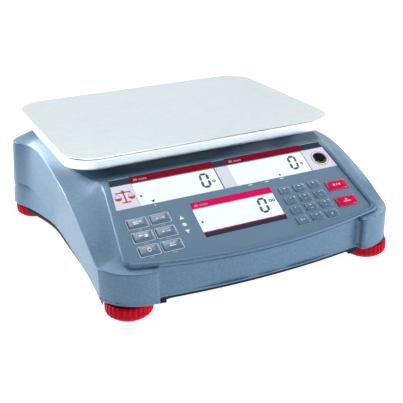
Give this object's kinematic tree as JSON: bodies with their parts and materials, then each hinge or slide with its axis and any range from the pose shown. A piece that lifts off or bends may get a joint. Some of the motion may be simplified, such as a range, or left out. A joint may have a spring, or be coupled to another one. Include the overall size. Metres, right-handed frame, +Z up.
{
  "type": "counting scale",
  "caption": "Bench counting scale with a lift-off flat pan, a sloped key panel with three displays and a level, and screw-in levelling feet.",
  "frame": {"origin": "on the surface it stands on, under the middle of its box", "axes": "+Z up, -Y towards the user in front of the key panel, +X to the user's right"},
  "size_m": [0.3472, 0.3391, 0.117],
  "materials": {
    "housing_paint": "metallic blue-grey paint on moulded plastic, satin",
    "tray_plastic": "moulded dark grey, fine texture",
    "overlay_film": "satin printed film",
    "window_clear": "clear",
    "lcd_glass": "pale backlit display",
    "vial_liquid": "dark vial",
    "ring_white": "white",
    "lamp_white": "white",
    "silicone": "matte",
    "board_green": "solder mask",
    "screw_steel": "zinc plated",
    "screw_black": "black oxide",
    "ribbon_grey": "flat cable",
    "socket_black": "moulded black",
    "port_metal": "nickel plated shell",
    "battery_case": "moulded black",
    "cast_alloy": "die cast",
    "cell_alloy": "machined, anodised",
    "pad_rubber": "matte black",
    "pan_steel": "brushed stainless",
    "lock_red": "moulded red",
    "insert_brass": "turned",
    "foot_red": "moulded crimson, ribbed",
    "key_grey": "glossy domed",
    "key_red": "glossy red"
  },
  "bodies": {
    "housing": {"top_housing": "housing_paint", "base_tray": "tray_plastic", "keypad_overlay": "overlay_film", "display_windows": "window_clear", "lcd_weight": "lcd_glass", "lcd_unit_weight": "lcd_glass", "lcd_count": "lcd_glass", "level_vial": "vial_liquid", "level_ring": "ring_white", "status_lamps": "lamp_white", "keypad_mat": "silicone", "display_board": "board_green", "board_screws": "screw_steel", "ribbon_cable": "ribbon_grey", "main_board": "board_green", "power_jack": "socket_black", "data_port": "port_metal", "battery": "battery_case", "load_cell_bracket": "cast_alloy", "load_cell": "cell_alloy", "load_cell_screws": "screw_black", "overload_stops": "screw_steel", "case_screws": "screw_steel", "foot_inserts": "insert_brass"},
    "platform": {"pan_support": "cast_alloy", "support_screws": "screw_black", "support_pads": "pad_rubber"},
    "pan": {"weighing_pan": "pan_steel"},
    "transport_lock": {"transport_lock": "lock_red"},
    "battery_door": {"battery_door": "tray_plastic"},
    "foot_pad_fl": {"foot_pad_fl": "pad_rubber"},
    "foot_wheel_fl": {"foot_wheel_fl": "foot_red"},
    "foot_pad_fr": {"foot_pad_fr": "pad_rubber"},
    "foot_wheel_fr": {"foot_wheel_fr": "foot_red"},
    "foot_pad_bl": {"foot_pad_bl": "pad_rubber"},
    "foot_wheel_bl": {"foot_wheel_bl": "foot_red"},
    "foot_pad_br": {"foot_pad_br": "pad_rubber"},
    "foot_wheel_br": {"foot_wheel_br": "foot_red"},
    "key_1": {"key_1": "key_grey"},
    "key_2": {"key_2": "key_grey"},
    "key_3": {"key_3": "key_grey"},
    "key_4": {"key_4": "key_grey"},
    "key_5": {"key_5": "key_grey"},
    "key_6": {"key_6": "key_grey"},
    "key_7": {"key_7": "key_grey"},
    "key_8": {"key_8": "key_grey"},
    "key_9": {"key_9": "key_grey"},
    "key_0": {"key_0": "key_grey"},
    "key_point": {"key_point": "key_grey"},
    "key_clear": {"key_clear": "key_grey"},
    "function_key_1": {"function_key_1": "key_grey"},
    "function_key_2": {"function_key_2": "key_grey"},
    "function_key_3": {"function_key_3": "key_grey"},
    "function_key_4": {"function_key_4": "key_grey"},
    "function_key_5": {"function_key_5": "key_grey"},
    "function_key_6": {"function_key_6": "key_grey"},
    "sample_key": {"sample_key": "key_red"},
    "tare_key": {"tare_key": "key_red"}
  },
  "joints": [
    {"name": "platform_travel", "type": "slide", "parent": "housing", "child": "platform", "axis": [0, 0, -1], "range_m": [0, 0.0005], "stiffness_N_per_m": 200000, "springref_m": -0.00005},
    {"name": "pan_lift", "type": "slide", "parent": "platform", "child": "pan", "axis": [0, 0, 1], "range_m": [0, 0.08]},
    {"name": "transport_lock_turn", "type": "hinge", "parent": "housing", "child": "transport_lock", "pos_m": [0, 0.10605, 0.0094], "axis": [0, 0, -1], "range_deg": [0, 90]},
    {"name": "battery_door_pull", "type": "slide", "parent": "housing", "child": "battery_door", "axis": [0, 0, -1], "range_m": [0, 0.06]},
    {"name": "foot_fl_travel", "type": "slide", "parent": "housing", "child": "foot_pad_fl", "axis": [0, 0, -1], "range_m": [0, 0.00601]},
    {"name": "foot_fl_turn", "type": "hinge", "parent": "foot_pad_fl", "child": "foot_wheel_fl", "pos_m": [-0.1303, -0.1442, 0.008], "axis": [0, 0, -1], "range_deg": [0, 1728]},
    {"name": "foot_fr_travel", "type": "slide", "parent": "housing", "child": "foot_pad_fr", "axis": [0, 0, -1], "range_m": [0, 0.00601]},
    {"name": "foot_fr_turn", "type": "hinge", "parent": "foot_pad_fr", "child": "foot_wheel_fr", "pos_m": [0.1303, -0.1442, 0.008], "axis": [0, 0, -1], "range_deg": [0, 1728]},
    {"name": "foot_bl_travel", "type": "slide", "parent": "housing", "child": "foot_pad_bl", "axis": [0, 0, -1], "range_m": [0, 0.00601]},
    {"name": "foot_bl_turn", "type": "hinge", "parent": "foot_pad_bl", "child": "foot_wheel_bl", "pos_m": [-0.1496, 0.1157, 0.008], "axis": [0, 0, -1], "range_deg": [0, 1728]},
    {"name": "foot_br_travel", "type": "slide", "parent": "housing", "child": "foot_pad_br", "axis": [0, 0, -1], "range_m": [0, 0.00601]},
    {"name": "foot_br_turn", "type": "hinge", "parent": "foot_pad_br", "child": "foot_wheel_br", "pos_m": [0.1496, 0.1157, 0.008], "axis": [0, 0, -1], "range_deg": [0, 1728]},
    {"name": "key_1_press", "type": "slide", "parent": "housing", "child": "key_1", "axis": [0, 0.4848, -0.8746], "range_m": [0, 0.0006], "stiffness_N_per_m": 800},
    {"name": "key_2_press", "type": "slide", "parent": "housing", "child": "key_2", "axis": [0, 0.4848, -0.8746], "range_m": [0, 0.0006], "stiffness_N_per_m": 800},
    {"name": "key_3_press", "type": "slide", "parent": "housing", "child": "key_3", "axis": [0, 0.4848, -0.8746], "range_m": [0, 0.0006], "stiffness_N_per_m": 800},
    {"name": "key_4_press", "type": "slide", "parent": "housing", "child": "key_4", "axis": [0, 0.4848, -0.8746], "range_m": [0, 0.0006], "stiffness_N_per_m": 800},
    {"name": "key_5_press", "type": "slide", "parent": "housing", "child": "key_5", "axis": [0, 0.4848, -0.8746], "range_m": [0, 0.0006], "stiffness_N_per_m": 800},
    {"name": "key_6_press", "type": "slide", "parent": "housing", "child": "key_6", "axis": [0, 0.4848, -0.8746], "range_m": [0, 0.0006], "stiffness_N_per_m": 800},
    {"name": "key_7_press", "type": "slide", "parent": "housing", "child": "key_7", "axis": [0, 0.4848, -0.8746], "range_m": [0, 0.0006], "stiffness_N_per_m": 800},
    {"name": "key_8_press", "type": "slide", "parent": "housing", "child": "key_8", "axis": [0, 0.4848, -0.8746], "range_m": [0, 0.0006], "stiffness_N_per_m": 800},
    {"name": "key_9_press", "type": "slide", "parent": "housing", "child": "key_9", "axis": [0, 0.4848, -0.8746], "range_m": [0, 0.0006], "stiffness_N_per_m": 800},
    {"name": "key_0_press", "type": "slide", "parent": "housing", "child": "key_0", "axis": [0, 0.4848, -0.8746], "range_m": [0, 0.0006], "stiffness_N_per_m": 800},
    {"name": "key_point_press", "type": "slide", "parent": "housing", "child": "key_point", "axis": [0, 0.4848, -0.8746], "range_m": [0, 0.0006], "stiffness_N_per_m": 800},
    {"name": "key_clear_press", "type": "slide", "parent": "housing", "child": "key_clear", "axis": [0, 0.4848, -0.8746], "range_m": [0, 0.0006], "stiffness_N_per_m": 800},
    {"name": "function_key_1_press", "type": "slide", "parent": "housing", "child": "function_key_1", "axis": [0, 0.4848, -0.8746], "range_m": [0, 0.0006], "stiffness_N_per_m": 800},
    {"name": "function_key_2_press", "type": "slide", "parent": "housing", "child": "function_key_2", "axis": [0, 0.4848, -0.8746], "range_m": [0, 0.0006], "stiffness_N_per_m": 800},
    {"name": "function_key_3_press", "type": "slide", "parent": "housing", "child": "function_key_3", "axis": [0, 0.4848, -0.8746], "range_m": [0, 0.0006], "stiffness_N_per_m": 800},
    {"name": "function_key_4_press", "type": "slide", "parent": "housing", "child": "function_key_4", "axis": [0, 0.4848, -0.8746], "range_m": [0, 0.0006], "stiffness_N_per_m": 800},
    {"name": "function_key_5_press", "type": "slide", "parent": "housing", "child": "function_key_5", "axis": [0, 0.4848, -0.8746], "range_m": [0, 0.0006], "stiffness_N_per_m": 800},
    {"name": "function_key_6_press", "type": "slide", "parent": "housing", "child": "function_key_6", "axis": [0, 0.4848, -0.8746], "range_m": [0, 0.0006], "stiffness_N_per_m": 800},
    {"name": "sample_key_press", "type": "slide", "parent": "housing", "child": "sample_key", "axis": [0, 0.4848, -0.8746], "range_m": [0, 0.0006], "stiffness_N_per_m": 800},
    {"name": "tare_key_press", "type": "slide", "parent": "housing", "child": "tare_key", "axis": [0, 0.4848, -0.8746], "range_m": [0, 0.0006], "stiffness_N_per_m": 800}
  ],
  "couplings": [
    {"joint": "foot_fl_travel", "follows": "foot_fl_turn", "m_per_rad": 0.00019894},
    {"joint": "foot_fr_travel", "follows": "foot_fr_turn", "m_per_rad": 0.00019894},
    {"joint": "foot_bl_travel", "follows": "foot_bl_turn", "m_per_rad": 0.00019894},
    {"joint": "foot_br_travel", "follows": "foot_br_turn", "m_per_rad": 0.00019894}
  ]
}
